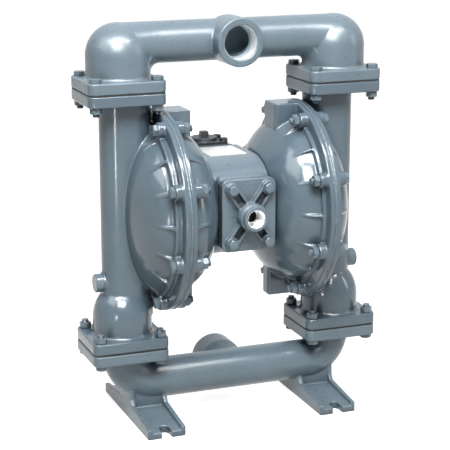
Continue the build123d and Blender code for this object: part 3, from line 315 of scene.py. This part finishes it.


# the third colour of each paint is painted shade, mixed into corners by ambient occlusion
enamelColours = ("#6b7c87", "#72838e", "#2b343b")
# the chambers' colours: the same coat drawn darker, as painted shade
paintedShadeChamberColours = ("#5d6f7b", "#657682", "#242d33")
finishes = {
    # paint: name, colours, grit in millimetres, its depth in metres, roughness from and to, ripple's depth
    # sand-cast manifolds: grit drawn at 2.4 mm so that it shows at this distance
    "gritEnamel": paintedCasting("epoxyEnamelOnSandCasting", enamelColours, 2.4, 0.0002, (0.26, 0.36)),
    # chambers: a finer mould face under the same coat, in darker colours that are painted shade
    "smoothEnamel": paintedCasting("epoxyEnamelOnFineCasting", paintedShadeChamberColours, 4.0, 0.00002, (0.14, 0.2),
                                   rippleDepth=0.00003),
    # bolts, nuts and plugs sprayed with the castings
    "fastenerEnamel": paintedCasting("epoxyEnamelOnForgedSteel", enamelColours, 2.5, 0.00005, (0.2, 0.28)),
    # the rear valve: a duller black-grey coat that leaves the grit showing
    "darkEnamel": paintedCasting("darkEnamelOnDieCasting", ("#373f45", "#3f474d", "#15191c"),
                                 2.5, 0.0004, (0.35, 0.5)),
    # metal and mouldings: name, colours, roughness from and to, grain in millimetres, its depth in metres
    # the air port's bore, cut after painting
    "boredAluminium": metalFinish("boredAluminium", ("#eef0f0", "#f6f7f7"), (0.26, 0.38), 1.2, 0.00003),
    # the pipe ports' walls: cut threads, seen as a bright grey
    "portWall": metalFinish("threadedPortWall", ("#eceeef", "#f5f6f6"), (0.5, 0.62), 1.2, 0.00003),
    # rolled sheet: a satin sheen with its fine lines drawn out along Y
    "nameplate": metalFinish("anodisedAluminiumSheet", ("#f3f4f4", "#f7f8f8"), (0.32, 0.45), 0.9, 0.00002,
                             stretch=(1.0, 0.05, 1.0)),
    # a thin bath over steel: pale grey with a soft shine
    "zinc": metalFinish("zincPlatedSteel", ("#b9bec2", "#c9cdcf"), (0.25, 0.4), 1.5, 0.00005),
    # turned in a lathe: grey and softly shining
    "turnedAluminium": metalFinish("turnedAluminium", ("#c8cbcd", "#dadcdd"), (0.25, 0.4), 1.2, 0.00008),
    # ground rods and spools, the shiniest of the metals
    "groundSteel": metalFinish("groundStainlessSteel", ("#b4b8bb", "#c6c9cb"), (0.16, 0.28), 0.8, 0.00003),
    # porous bushings, brown and dull
    "bronze": metalFinish("sinteredBronze", ("#a9865a", "#b8966a"), (0.35, 0.5), 0.8, 0.00008),
    # milky white with the mould's faint texture
    "seatPlastic": mouldedFinish("acetalMoulding", ("#dcdcd6", "#e4e4de"), (0.35, 0.45), 1.2, 0.00005),
    # black and matt, with a grey bloom
    "rubber": mouldedFinish("mouldedNeoprene", ("#101112", "#17181a"), (0.55, 0.7), 1.5, 0.0001, 1.52),
}
slotFinish = {
    "blue_grey_paint": "fastenerEnamel",
    "dark_paint": "darkEnamel",
    "plate_aluminium": "nameplate",
    "zinc_steel": "zinc",
    "bare_aluminium": "turnedAluminium",
    "bare_steel": "groundSteel",
    "bronze": "bronze",
    "seat_plastic": "seatPlastic",
    "black_rubber": "rubber",
}


# Gives a piece one finish.
def wear(thing, finish):
    thing.data.materials.clear()
    thing.data.materials.append(finishes[finish])


slotOf = {part["node"]: part["material_slot"] for part in frame["record"]["subparts"]}
for nodeName, node in nodes.items():
    wear(node, slotFinish[slotOf[nodeName]])
print("finishes made:", len(finishes))


# Castings with the soft edges of a sand mould

castingSet = {
    # node: lattice step in millimetres, relaxing passes, finish
    "discharge_manifold": (1.3, 4, "gritEnamel"),
    "suction_manifold": (1.3, 4, "gritEnamel"),
    "right_outer_chamber": (1.5, 3, "smoothEnamel"),
    "left_outer_chamber": (1.5, 3, "smoothEnamel"),
    "right_inner_chamber": (1.3, 3, "smoothEnamel"),
    "left_inner_chamber": (1.3, 3, "smoothEnamel"),
    "centre_body": (1.3, 4, "gritEnamel"),
    "air_inlet_cap": (0.8, 2, "gritEnamel"),
    "main_valve_body": (1.3, 3, "darkEnamel"),
    "upper_valve_cap": (0.9, 3, "darkEnamel"),
    "lower_valve_cap": (0.9, 3, "darkEnamel"),
}
mostTriangles = 165000  # a casting above this is thinned where it is flattest
relaxFactor = 0.5  # of the way to the mean of the neighbours
weldReach = 0.00001  # metres


# Rows closed at both ends by a point in the middle of the first and of the last.
def closedRows(rows):
    first, last = (np.broadcast_to(row.mean(axis=0), row.shape) for row in (rows[0], rows[-1]))
    return np.array([first, *rows, last])


webSet = {
    "elbowX": 0.1957,
    "elbowR": 0.054,
    "pipeZ": 0.6525,
    "pipeR": 0.035,
    "fillet": 0.016,
    "overlap": 0.004,
    "halfWidth": 0.031,
    "rows": 33,
    "arcPoints": 9,
    "blendFrom": 0.125,
    "blendTo": 0.1957,
    "blendGain": 0.010,
    "blendGrowth": 1.5,
    "blendRows": 26,
    "blendColumns": 72,
}


# The fillet under the pipe where it runs into each elbow: at each y, the corner between the elbow's circle
# and the pipe's circle, filled up to a quarter circle that touches both.
def elbowWebs():
    w = webSet
    r, k = w["fillet"], w["overlap"]
    grids = []
    turn = np.linspace(0.0, math.pi / 2, w["arcPoints"])
    for sign in (-1, 1):
        rows = []
        for y in np.linspace(-w["halfWidth"], w["halfWidth"], w["rows"]):
            x = w["elbowX"] - math.sqrt(w["elbowR"] ** 2 - y * y)
            z = w["pipeZ"] - math.sqrt(w["pipeR"] ** 2 - y * y)
            across = np.concatenate((x - r + r * np.cos(turn), (x - r, x + k, x + k)))
            up = np.concatenate((z - r + r * np.sin(turn), (z + k, z + k, z - r)))
            rows.append(np.stack((sign * across, np.full_like(across, y), up), axis=-1))
        grids.append(closedRows(rows))
    return grids


# The pipe's swelling into each elbow: ellipses across the pipe, as high as it and wider by a gain times the
# 1.5th power of the way from where it starts to where it ends inside the elbow.
def elbowBlends():
    w = webSet
    grids = []
    turn = np.linspace(0.0, 2 * math.pi, w["blendColumns"], endpoint=False)
    for sign in (-1, 1):
        rows = []
        for t in np.linspace(0.0, 1.0, w["blendRows"]):
            x = w["blendFrom"] + (w["blendTo"] - w["blendFrom"]) * t
            wide, high = w["pipeR"] + w["blendGain"] * t ** w["blendGrowth"], w["pipeR"]
            across, up = wide * np.cos(turn), w["pipeZ"] + high * np.sin(turn)
            rows.append(np.stack((np.full_like(turn, sign * x), across, up), axis=-1))
        grids.append(closedRows(rows))
    return grids


finSet = {
    "count": 16,
    "middleZ": 0.367,
    "dishX": 0.117,
    "dishDepth": 0.084,
    "dishR": 0.145,
    "tipX": 0.079,
    "rimX": 0.112,
    "rimRise": 0.0072,
    "root": 0.005,
    "halfFoot": 0.0036,
    "halfCrest": 0.0016,
    "clearOfLugs": 15.0,  # degrees from the top and the bottom
    "rows": 24,
    "growth": 0.85,
    "tipShare": 0.6,  # of the foot's width, at the tip
    "shoulders": (1.3, 0.6),  # of the crest's half width, at the edge and on top
    "crestEdge": 0.0008,
}


# Fins from the rim of an inner chamber down its dish, which is a quarter ellipse: the crest stands over it
# by a height that grows with the 0.85th power of the way from the tip to the rim.
def dishFins(sign):
    f = finSet
    grids = []
    for k in range(f["count"]):
        turn = 360.0 * k / f["count"]
        if min(abs(turn - 90.0), abs(turn - 270.0)) < f["clearOfLugs"]:
            continue
        turn = math.radians(turn)
        rows = []
        for t in np.linspace(0.0, 1.0, f["rows"]):
            x = f["tipX"] + (f["rimX"] - f["tipX"]) * t
            dish = f["dishR"] * math.sqrt(1 - ((f["dishX"] - x) / f["dishDepth"]) ** 2)
            crest = dish + f["rimRise"] * t ** f["growth"]
            foot = f["halfFoot"] * (f["tipShare"] + (1 - f["tipShare"]) * t)
            edge, top = (f["halfCrest"] * share for share in f["shoulders"])
            side = np.array((-foot, -edge, -top, top, edge, foot))
            root, shoulder = dish - f["root"], crest - f["crestEdge"]
            out = np.array((root, shoulder, crest, crest, shoulder, root))
            y = out * math.cos(turn) - side * math.sin(turn)
            z = f["middleZ"] + out * math.sin(turn) + side * math.cos(turn)
            rows.append(np.stack((np.full_like(side, sign * x), y, z), axis=-1))
        grids.append(closedRows(rows))
    return grids


# Joins closed shells to a mesh: rows by columns, columns wrap, first and last rows are points.
def addGrids(mesh, grids):
    work = bmesh.new()
    work.from_mesh(mesh)
    for grid in grids:
        rows = [[work.verts.new(point) for point in row] for row in grid.tolist()]
        for low, high in zip(rows, rows[1:]):
            for k in range(len(low)):
                work.faces.new((low[k - 1], low[k], high[k], high[k - 1]))
    bmesh.ops.remove_doubles(work, verts=work.verts, dist=1e-6)
    work.to_mesh(mesh)
    work.free()


# The outline is the solid's own, resampled on a lattice of cubes and then relaxed: each point moves halfway
# to the mean of its neighbours, so that edges and corners get the fillets of a sand mould.
def makeCasting(nodeName, step, passes, finish):
    mesh = nodes[nodeName].data.copy()
    if nodeName == "discharge_manifold":
        addGrids(mesh, elbowWebs() + elbowBlends())
    if nodeName.endswith("inner_chamber"):
        addGrids(mesh, dishFins(1 if nodeName.startswith("right") else -1))
    rough = bpy.data.objects.new(nodeName + "_raw", mesh)
    bpy.context.scene.collection.objects.link(rough)
    weld = rough.modifiers.new("weld", "WELD")
    weld.merge_threshold = weldReach
    lattice = rough.modifiers.new("lattice", "REMESH")
    lattice.mode = "VOXEL"
    lattice.voxel_size = step / 1000.0  # millimetres to metres
    relax = rough.modifiers.new("relax", "SMOOTH")
    relax.factor = relaxFactor
    relax.iterations = passes
    graph = bpy.context.evaluated_depsgraph_get()
    count = 2 * len(rough.evaluated_get(graph).data.polygons)
    if count > mostTriangles:
        fineMesh = bpy.data.meshes.new_from_object(rough.evaluated_get(graph))
        fineMesh.shade_smooth()
        fine = bpy.data.objects.new(nodeName + "_fine", fineMesh)
        bpy.context.scene.collection.objects.link(fine)
        thin = rough.modifiers.new("thin", "DECIMATE")
        thin.ratio = mostTriangles / count
        # the full lattice's smooth normals, so that thinning doesn't show
        shading = rough.modifiers.new("shading", "DATA_TRANSFER")
        shading.object = fine
        shading.use_loop_data = True
        shading.data_types_loops = {"CUSTOM_NORMAL"}
        shading.loop_mapping = "POLYINTERP_NEAREST"
        graph = bpy.context.evaluated_depsgraph_get()
        made = bpy.data.meshes.new_from_object(rough.evaluated_get(graph))
        bpy.data.objects.remove(fine)
    else:
        made = bpy.data.meshes.new_from_object(rough.evaluated_get(graph))
        made.shade_smooth()
    bpy.data.objects.remove(rough)
    made.name = nodeName + "_cast"
    piece = bpy.data.objects.new(nodeName + "_cast", made)
    bpy.context.scene.collection.objects.link(piece)
    wear(piece, finish)
    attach(piece, bodyOf[nodeName])
    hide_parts(nodeName)
    made.calc_loop_triangles()
    print("casting", nodeName, len(made.loop_triangles), "triangles")
    return piece


castings = {name: makeCasting(name, *settings) for name, settings in castingSet.items()}

columnsOnly = bpy.data.collections.new("columnsOnly")  # the strip that draws a line down the columns
for name in ("left_outer_chamber", "right_outer_chamber"):
    columnsOnly.objects.link(castings[name])
bpy.data.objects["lineStrip"].light_linking.receiver_collection = columnsOnly


# Pieces worked out as surfaces

# A mesh from grids of points, rows by columns: each cell is one face, columns wrap round, and rows wrap too
# if asked. Rows that shrink to a point are welded into a pole.
def surfacePiece(name, grids, finish, body, wrapRows=False, sharpDegrees=35.0):
    points = np.concatenate([grid.reshape(-1, 3) for grid in grids])
    faces = []
    first = 0
    for grid in grids:
        rows, columns = grid.shape[:2]
        index = np.arange(rows * columns).reshape(rows, columns) + first
        low = index if wrapRows else index[:-1]
        high = np.roll(index, -1, axis=0) if wrapRows else index[1:]
        cells = np.stack((low, np.roll(low, -1, axis=1), np.roll(high, -1, axis=1), high), axis=-1)
        faces.append(cells.reshape(-1, 4))
        first += rows * columns
    mesh = bpy.data.meshes.new(name)
    mesh.from_pydata(points.tolist(), [], np.concatenate(faces).tolist())
    work = bmesh.new()
    work.from_mesh(mesh)
    bmesh.ops.remove_doubles(work, verts=work.verts, dist=1e-6)
    bmesh.ops.dissolve_degenerate(work, edges=work.edges, dist=1e-7)
    bmesh.ops.recalc_face_normals(work, faces=work.faces)
    work.to_mesh(mesh)
    work.free()
    mesh.shade_smooth()
    mesh.set_sharp_from_angle(angle=math.radians(sharpDegrees))
    piece = bpy.data.objects.new(name, mesh)
    bpy.context.scene.collection.objects.link(piece)
    wear(piece, finish)
    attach(piece, body)
    return piece


# Detailed bolts or nuts in the place of the solids of that name.
def hexPiece(name, grids, finish="fastenerEnamel", wrapRows=False):
    piece = surfacePiece(name + "_hex", grids, finish, "pump", wrapRows=wrapRows)
    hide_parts(name)


# Angles once round an axis, the last one short of the first.
def roundTurn(columns):
    return np.linspace(0.0, 2 * math.pi, columns, endpoint=False)


# One row for each value, the same all round.
def level(values, angle):
    return np.array(values)[:, None] + 0 * angle


# A rotation that carries +Z to one of the axes.
def turnedTo(direction):
    direction = np.array(direction, float)
    side = np.array((0.0, 0.0, 1.0)) if abs(direction[2]) < 0.5 else np.array((0.0, 1.0, 0.0))
    across = np.cross(side, direction)
    return np.stack((across, np.cross(direction, across), direction), axis=1)


# Points at a radius and height about an axis through centre: x = r cos a, y = r sin a, z = height, turned
# so that the height runs along the direction.
def placed(radius, height, angle, centre, direction, spin=0.0):
    local = np.stack((radius * np.cos(angle + spin), radius * np.sin(angle + spin), height), axis=-1)
    return local @ turnedTo(direction).T + np.array(centre)


# Distance from the middle of a hexagon to its side: half its width over the cosine of the angle from the
# nearest flat's middle.
def hexagonRadius(angle, flats):
    nearest = (angle + math.pi / 6) % (math.pi / 3) - math.pi / 6
    return flats / 2 / np.cos(nearest)


hexSet = {
    "columns": 48,
    "crown": 0.94,  # of half the width: the round top inside the crowned corners
    "crownSlope": math.tan(math.radians(30.0)),
    "edge": 0.0003,
    "threadShare": 0.55,  # depth of the ridge, of the pitch
    "endShare": 0.7,  # depth of the shank's end chamfer, of the pitch
    "rowsPerTurn": 6,
    "boreGap": 0.0001,
    "boreEdge": 0.0007,
}


# Hexagon bolt in one surface, from the head's middle down to the shank's end. The head's top edge follows a
# 30 degree cone; the shank's end carries a helical ridge: radius less a triangle wave of height over pitch.
def boltGrid(size, headHeight, length, threadLength, pitch, centre, direction, spin=0.0):
    h = hexSet
    shank, flats = size
    angle = roundTurn(h["columns"])
    six = hexagonRadius(angle, flats)
    crown = np.full_like(angle, h["crown"] * flats / 2)
    top = np.full_like(angle, headHeight)
    fall = headHeight - (six - crown) * h["crownSlope"]
    zero = np.zeros_like(angle)
    radii = [zero, crown - h["edge"], crown, six - h["edge"], six, six, zero + shank, zero + shank]
    heights = [top, top, top - h["edge"] / 2, fall, fall - h["edge"], zero, zero,
               zero + threadLength - length]
    steps = max(int(threadLength / pitch * h["rowsPerTurn"]), h["rowsPerTurn"])
    for k in range(1, steps):
        z = threadLength - length - threadLength * k / steps
        turn = (z / pitch - angle / (2 * math.pi)) % 1.0
        depth = h["threadShare"] * pitch * np.abs(2 * turn - 1)
        radii.append(zero + shank - depth)
        heights.append(zero + z)
    radii += [zero + shank - h["endShare"] * pitch, zero]
    heights += [zero - length, zero - length]
    return placed(np.array(radii), np.array(heights), angle[None, :], centre, direction, spin)


# Hexagon nut as a ring: up the bore, over the crowned top, down the six sides and back under.
def nutGrid(size, thickness, centre, direction, spin=0.0):
    h = hexSet
    shank, flats = size
    angle = roundTurn(h["columns"])
    six = hexagonRadius(angle, flats)
    crown = np.full_like(angle, h["crown"] * flats / 2)
    zero = np.zeros_like(angle)
    top = zero + thickness
    drop = (six - crown) * h["crownSlope"]
    bore = zero + shank + h["boreGap"]
    radii = [bore, bore, bore + h["boreEdge"], crown, six, six, crown]
    heights = [zero, top - h["boreEdge"], top, top, thickness - drop, drop, zero]
    return placed(np.array(radii), np.array(heights), angle[None, :], centre, direction, spin)


# Flat washer as a ring with its four edges eased.
def washerGrid(inner, outer, thickness, centre, direction):
    angle = roundTurn(hexSet["columns"])
    e = hexSet["edge"]
    radii = level((inner, inner, inner + e, outer - e, outer, outer, outer - e, inner + e), angle)
    heights = level((e, thickness - e, thickness, thickness, thickness - e, e, 0.0, 0.0), angle)
    return placed(radii, heights, angle[None, :], centre, direction)


m12, m10, m8 = (0.006, 0.018), (0.005, 0.016), (0.004, 0.013)  # shank radius and width over the flats

jointSet = {
    "columnX": 0.1957,
    "offX": 0.0528,
    "offY": 0.0475,
    "discharge": 0.5763,
    "suction": 0.1345,
    "halfGrip": 0.0203,
    "headHeight": 0.0075,
    "nutHeight": 0.010,
    "studEnd": 0.005,
    "threadLength": 0.012,
    "pitch": 0.00175,
    "spin": (0.2, 0.47, 0.4),  # the first bolt's angle, the step to the next, the nut's lead over its bolt
}


# Four bolts and nuts in each square joint; every one stands at its own angle, as it was tightened.
def jointFasteners():
    j = jointSet
    length = 2 * j["halfGrip"] + j["nutHeight"] + j["studEnd"]
    for name, z, sign in (("discharge", j["discharge"], 1), ("suction", j["suction"], -1)):
        bolts, nuts = [], []
        spin, step, lead = j["spin"]
        for x in (-j["columnX"] - j["offX"], -j["columnX"] + j["offX"], j["columnX"] - j["offX"],
                  j["columnX"] + j["offX"]):
            for y in (-j["offY"], j["offY"]):
                bolts.append(boltGrid(m12, j["headHeight"], length, j["threadLength"], j["pitch"],
                                      (x, y, z + sign * j["halfGrip"]), (0, 0, sign), spin))
                nuts.append(nutGrid(m12, j["nutHeight"], (x, y, z - sign * j["halfGrip"]),
                                    (0, 0, -sign), spin + lead))
                spin += step
        hexPiece(name + "_bolts", bolts)
        hexPiece(name + "_nuts", nuts, wrapRows=True)


ringSet = {
    "middleZ": 0.367,
    "circle": 0.1603,
    "count": 8,
    "boltSeat": 0.150,
    "nutSeat": 0.104,
    "boltSpin": 0.35,
    "nutSpin": 0.6,
}


# Eight bolts round each chamber, heads outwards and nuts on the inner chamber's bosses.
def ringFasteners():
    r, j = ringSet, jointSet
    length = r["boltSeat"] - r["nutSeat"] + j["nutHeight"] + j["studEnd"]
    for side, sign in (("right", 1), ("left", -1)):
        bolts, nuts = [], []
        for k in range(r["count"]):
            turn = 2 * math.pi * (k + 0.5) / r["count"]
            y, z = r["circle"] * math.cos(turn), r["middleZ"] + r["circle"] * math.sin(turn)
            bolts.append(boltGrid(m12, j["headHeight"], length, j["threadLength"], j["pitch"],
                                  (sign * r["boltSeat"], y, z), (sign, 0, 0), r["boltSpin"] * k))
            nuts.append(nutGrid(m12, j["nutHeight"], (sign * r["nutSeat"], y, z), (-sign, 0, 0),
                                r["nutSpin"] * k))
        hexPiece(side + "_ring_bolts", bolts)
        hexPiece(side + "_ring_nuts", nuts, wrapRows=True)


capSet = {
    "halfX": 0.03225,
    "halfZ": 0.0465,
    "middleZ": 0.367,
    "seatY": -0.1055,
    "headHeight": 0.0064,
    "length": 0.0435,
    "threadLength": 0.012,
    "pitch": 0.0015,
    "washer": (0.0052, 0.0103, 0.0016),  # inner and outer radius, thickness
    "spin": (0.3, 0.55),  # the first bolt's angle and the step to the next
}


# Four bolts of the air inlet cap on plain washers.
def capFasteners():
    c = capSet
    bolts, washers = [], []
    spin, step = c["spin"]
    inner, outer, thickness = c["washer"]
    for x in (-c["halfX"], c["halfX"]):
        for z in (c["middleZ"] - c["halfZ"], c["middleZ"] + c["halfZ"]):
            washers.append(washerGrid(inner, outer, thickness, (x, c["seatY"], z), (0, -1, 0)))
            bolts.append(boltGrid(m10, c["headHeight"], c["length"], c["threadLength"], c["pitch"],
                                  (x, c["seatY"] - thickness, z), (0, -1, 0), spin))
            spin += step
    hexPiece("cap_bolts", bolts)
    surfacePiece("cap_washers", washers, "fastenerEnamel", "pump", wrapRows=True)


valveSet = {
    "boltX": 0.040,
    "boltZ": 0.056,
    "faceY": 0.0945,
    "axisY": 0.121,
    "capBoltX": 0.0315,
    "capBoltY": 0.017,
    "capFaceZ": 0.089,
    "middleZ": 0.367,
    "bolt": (m10, 0.0064, 0.0275, 0.010, 0.0015),  # size, head, length, thread's length, pitch
    "capBolt": (m8, 0.0053, 0.017, 0.008, 0.00125),
}


# Bolts of the rear valve's flange, and of its two end caps. Each one's angle comes from its place.
def valveFasteners():
    v = valveSet
    bolts = []
    for x in (-v["boltX"], v["boltX"]):
        for z in (v["middleZ"] - v["boltZ"], v["middleZ"] + v["boltZ"]):
            bolts.append(boltGrid(*v["bolt"], (x, v["faceY"], z), (0, 1, 0), 0.2 + 9 * z))
    hexPiece("valve_bolts", bolts, "darkEnamel")
    bolts = []
    for sign in (-1, 1):
        z = v["middleZ"] + sign * v["capFaceZ"]
        for x in (-v["capBoltX"], v["capBoltX"]):
            for y in (v["axisY"] - v["capBoltY"], v["axisY"] + v["capBoltY"]):
                bolts.append(boltGrid(*v["capBolt"], (x, y, z), (0, 0, sign), 12 * x + 20 * y))
    hexPiece("valve_cap_bolts", bolts, "darkEnamel")


seamSet = {
    "middleX": 0.1275,
    "halfWidth": 0.0019,
    "inner": 0.1712,
    "outer": 0.1732,
    "wander": 0.00022,
    "waves": ((37, 1.0, 1.0), (83, 0.0, 1.0), (141, 2.0, 0.8), (229, 0.0, 0.7)),  # count, phase, share
    "squareness": 0.6,  # 1 is a round bead, less is squarer
    "columns": 720,
    "rows": 12,
}


# The diaphragm's edge between the two rings, bridged by paint: a round bead whose radius wanders by a sum
# of sines of the angle.
def ringSeams():
    m = seamSet
    angle = roundTurn(m["columns"])
    across = roundTurn(m["rows"])[:, None]
    wander = sum(share * np.sin(count * angle + phase) for count, phase, share in m["waves"])
    middle, half = (m["inner"] + m["outer"]) / 2, (m["outer"] - m["inner"]) / 2
    radius = middle + half * np.cos(across) + m["wander"] * wander * np.maximum(np.cos(across), 0.0)
    squared = np.sign(np.sin(across)) * np.abs(np.sin(across)) ** m["squareness"]
    shift = m["halfWidth"] * squared + 0 * angle
    for side, sign in (("right", 1), ("left", -1)):
        centre = (sign * m["middleX"], 0.0, ringSet["middleZ"])
        grid = placed(radius, shift, angle[None, :], centre, (sign, 0, 0))
        surfacePiece(side + "_ring_seam", [grid], "gritEnamel", "pump", wrapRows=True)


threadSet = {
    "rowsPerTurn": 6,
    "skin": 0.00015,  # the ridge's foot stands this far inside the bore's wall
    "back": 0.0004,  # the liner closes this far outside it
}


# A thread down a bore: wall radius less a triangle wave of depth over pitch, so that the ridge winds
# inwards, and grows over the first two turns. Gives rows of radius and of height.
def threadedWall(angle, wall, deep, pitch, ridge):
    depth = np.linspace(0.0, deep, int(deep / pitch * threadSet["rowsPerTurn"]))[:, None]
    turn = (depth / pitch - angle / (2 * math.pi)) % 1.0
    ease = np.clip(depth / (2 * pitch), 0.0, 1.0)
    inside = wall - threadSet["skin"] - ridge * ease * (1 - np.abs(2 * turn - 1))
    return inside, -depth + 0 * angle


inletSet = {
    "middleZ": 0.367,
    "mouthY": -0.1312,
    "depth": 0.024,
    "floorR": 0.010,
    "floorThick": 0.002,
    "wallR": 0.0153,
    "pitch": 0.0018,
    "threadDepth": 0.0009,
    "hubR": 0.0236,
    "hubY": (-0.1085, -0.1205),
    "grooves": 5,
    "grooveRows": 8,  # for each groove
    "grooveRise": 0.0006,
    "grooveSink": 0.001,  # the rings close this far under the hub's skin
    "columns": 96,
}


# The air port's bore, bare because it was cut after painting: a thread down to a step, closed behind
# through the wall that it lines.
def inletLiner():
    i = inletSet
    angle = roundTurn(i["columns"])
    inside, down = threadedWall(angle, i["wallR"], i["depth"], i["pitch"], i["threadDepth"])
    outside, back = i["wallR"] + threadSet["back"], -i["depth"] - i["floorThick"]
    radius = np.concatenate((inside, level((i["floorR"], i["floorR"], outside, outside), angle)))
    height = np.concatenate((down, level((-i["depth"], back, back, 0.0), angle)))
    grid = placed(radius, height, angle[None, :], (0.0, i["mouthY"], i["middleZ"]), (0, -1, 0))
    surfacePiece("air_inlet_thread", [grid], "boredAluminium", "pump", wrapRows=True)


portLinerSet = {
    # name: place of the mouth, way out, wall radius, depth
    "discharge_port_thread": ((0.0, -0.0583, 0.6525), (0, -1, 0), 0.029, 0.0245),
    "suction_port_thread": ((0.0, 0.0763, 0.0635), (0, 1, 0), 0.029, 0.0245),
}
portPitch, portThreadDepth, portColumns = 0.0022, 0.00025, 120


# Bare walls of the two pipe ports, threaded after painting: the same winding ridge as in the air inlet.
def portLiners():
    angle = roundTurn(portColumns)
    for name, (mouth, way, wall, deep) in portLinerSet.items():
        inside, down = threadedWall(angle, wall, deep, portPitch, portThreadDepth)
        outside = wall + threadSet["back"]
        radius = np.concatenate((inside, level((outside, outside), angle)))
        height = np.concatenate((down, level((-deep, 0.0), angle)))
        grid = placed(radius, height, angle[None, :], mouth, way)
        surfacePiece(name, [grid], "portWall", "pump", wrapRows=True)


# Fine turned rings round the inlet's hub: radius plus the size of a sine of the distance along it.
def inletGrooves():
    i = inletSet
    angle = roundTurn(i["columns"])
    far, near = i["hubY"]
    along = np.linspace(0.0, 1.0, i["grooveRows"] * i["grooves"] + 1)[:, None]
    bumps = i["hubR"] + i["grooveRise"] * np.abs(np.sin(math.pi * i["grooves"] * along)) + 0 * angle
    sunk = i["hubR"] - i["grooveSink"]
    radius = np.concatenate((bumps, level((sunk, sunk), angle)))
    height = np.concatenate((along * (far - near) + 0 * angle, level((far - near, 0.0), angle)))
    grid = placed(radius, height, angle[None, :], (0.0, far, i["middleZ"]), (0, -1, 0))
    surfacePiece("air_inlet_grooves", [grid], "fastenerEnamel", "pump", wrapRows=True)


jointFasteners()
ringFasteners()
capFasteners()
valveFasteners()
ringSeams()
inletLiner()
portLiners()
inletGrooves()
print("fasteners, seams and inlet made")


print("scene ready")
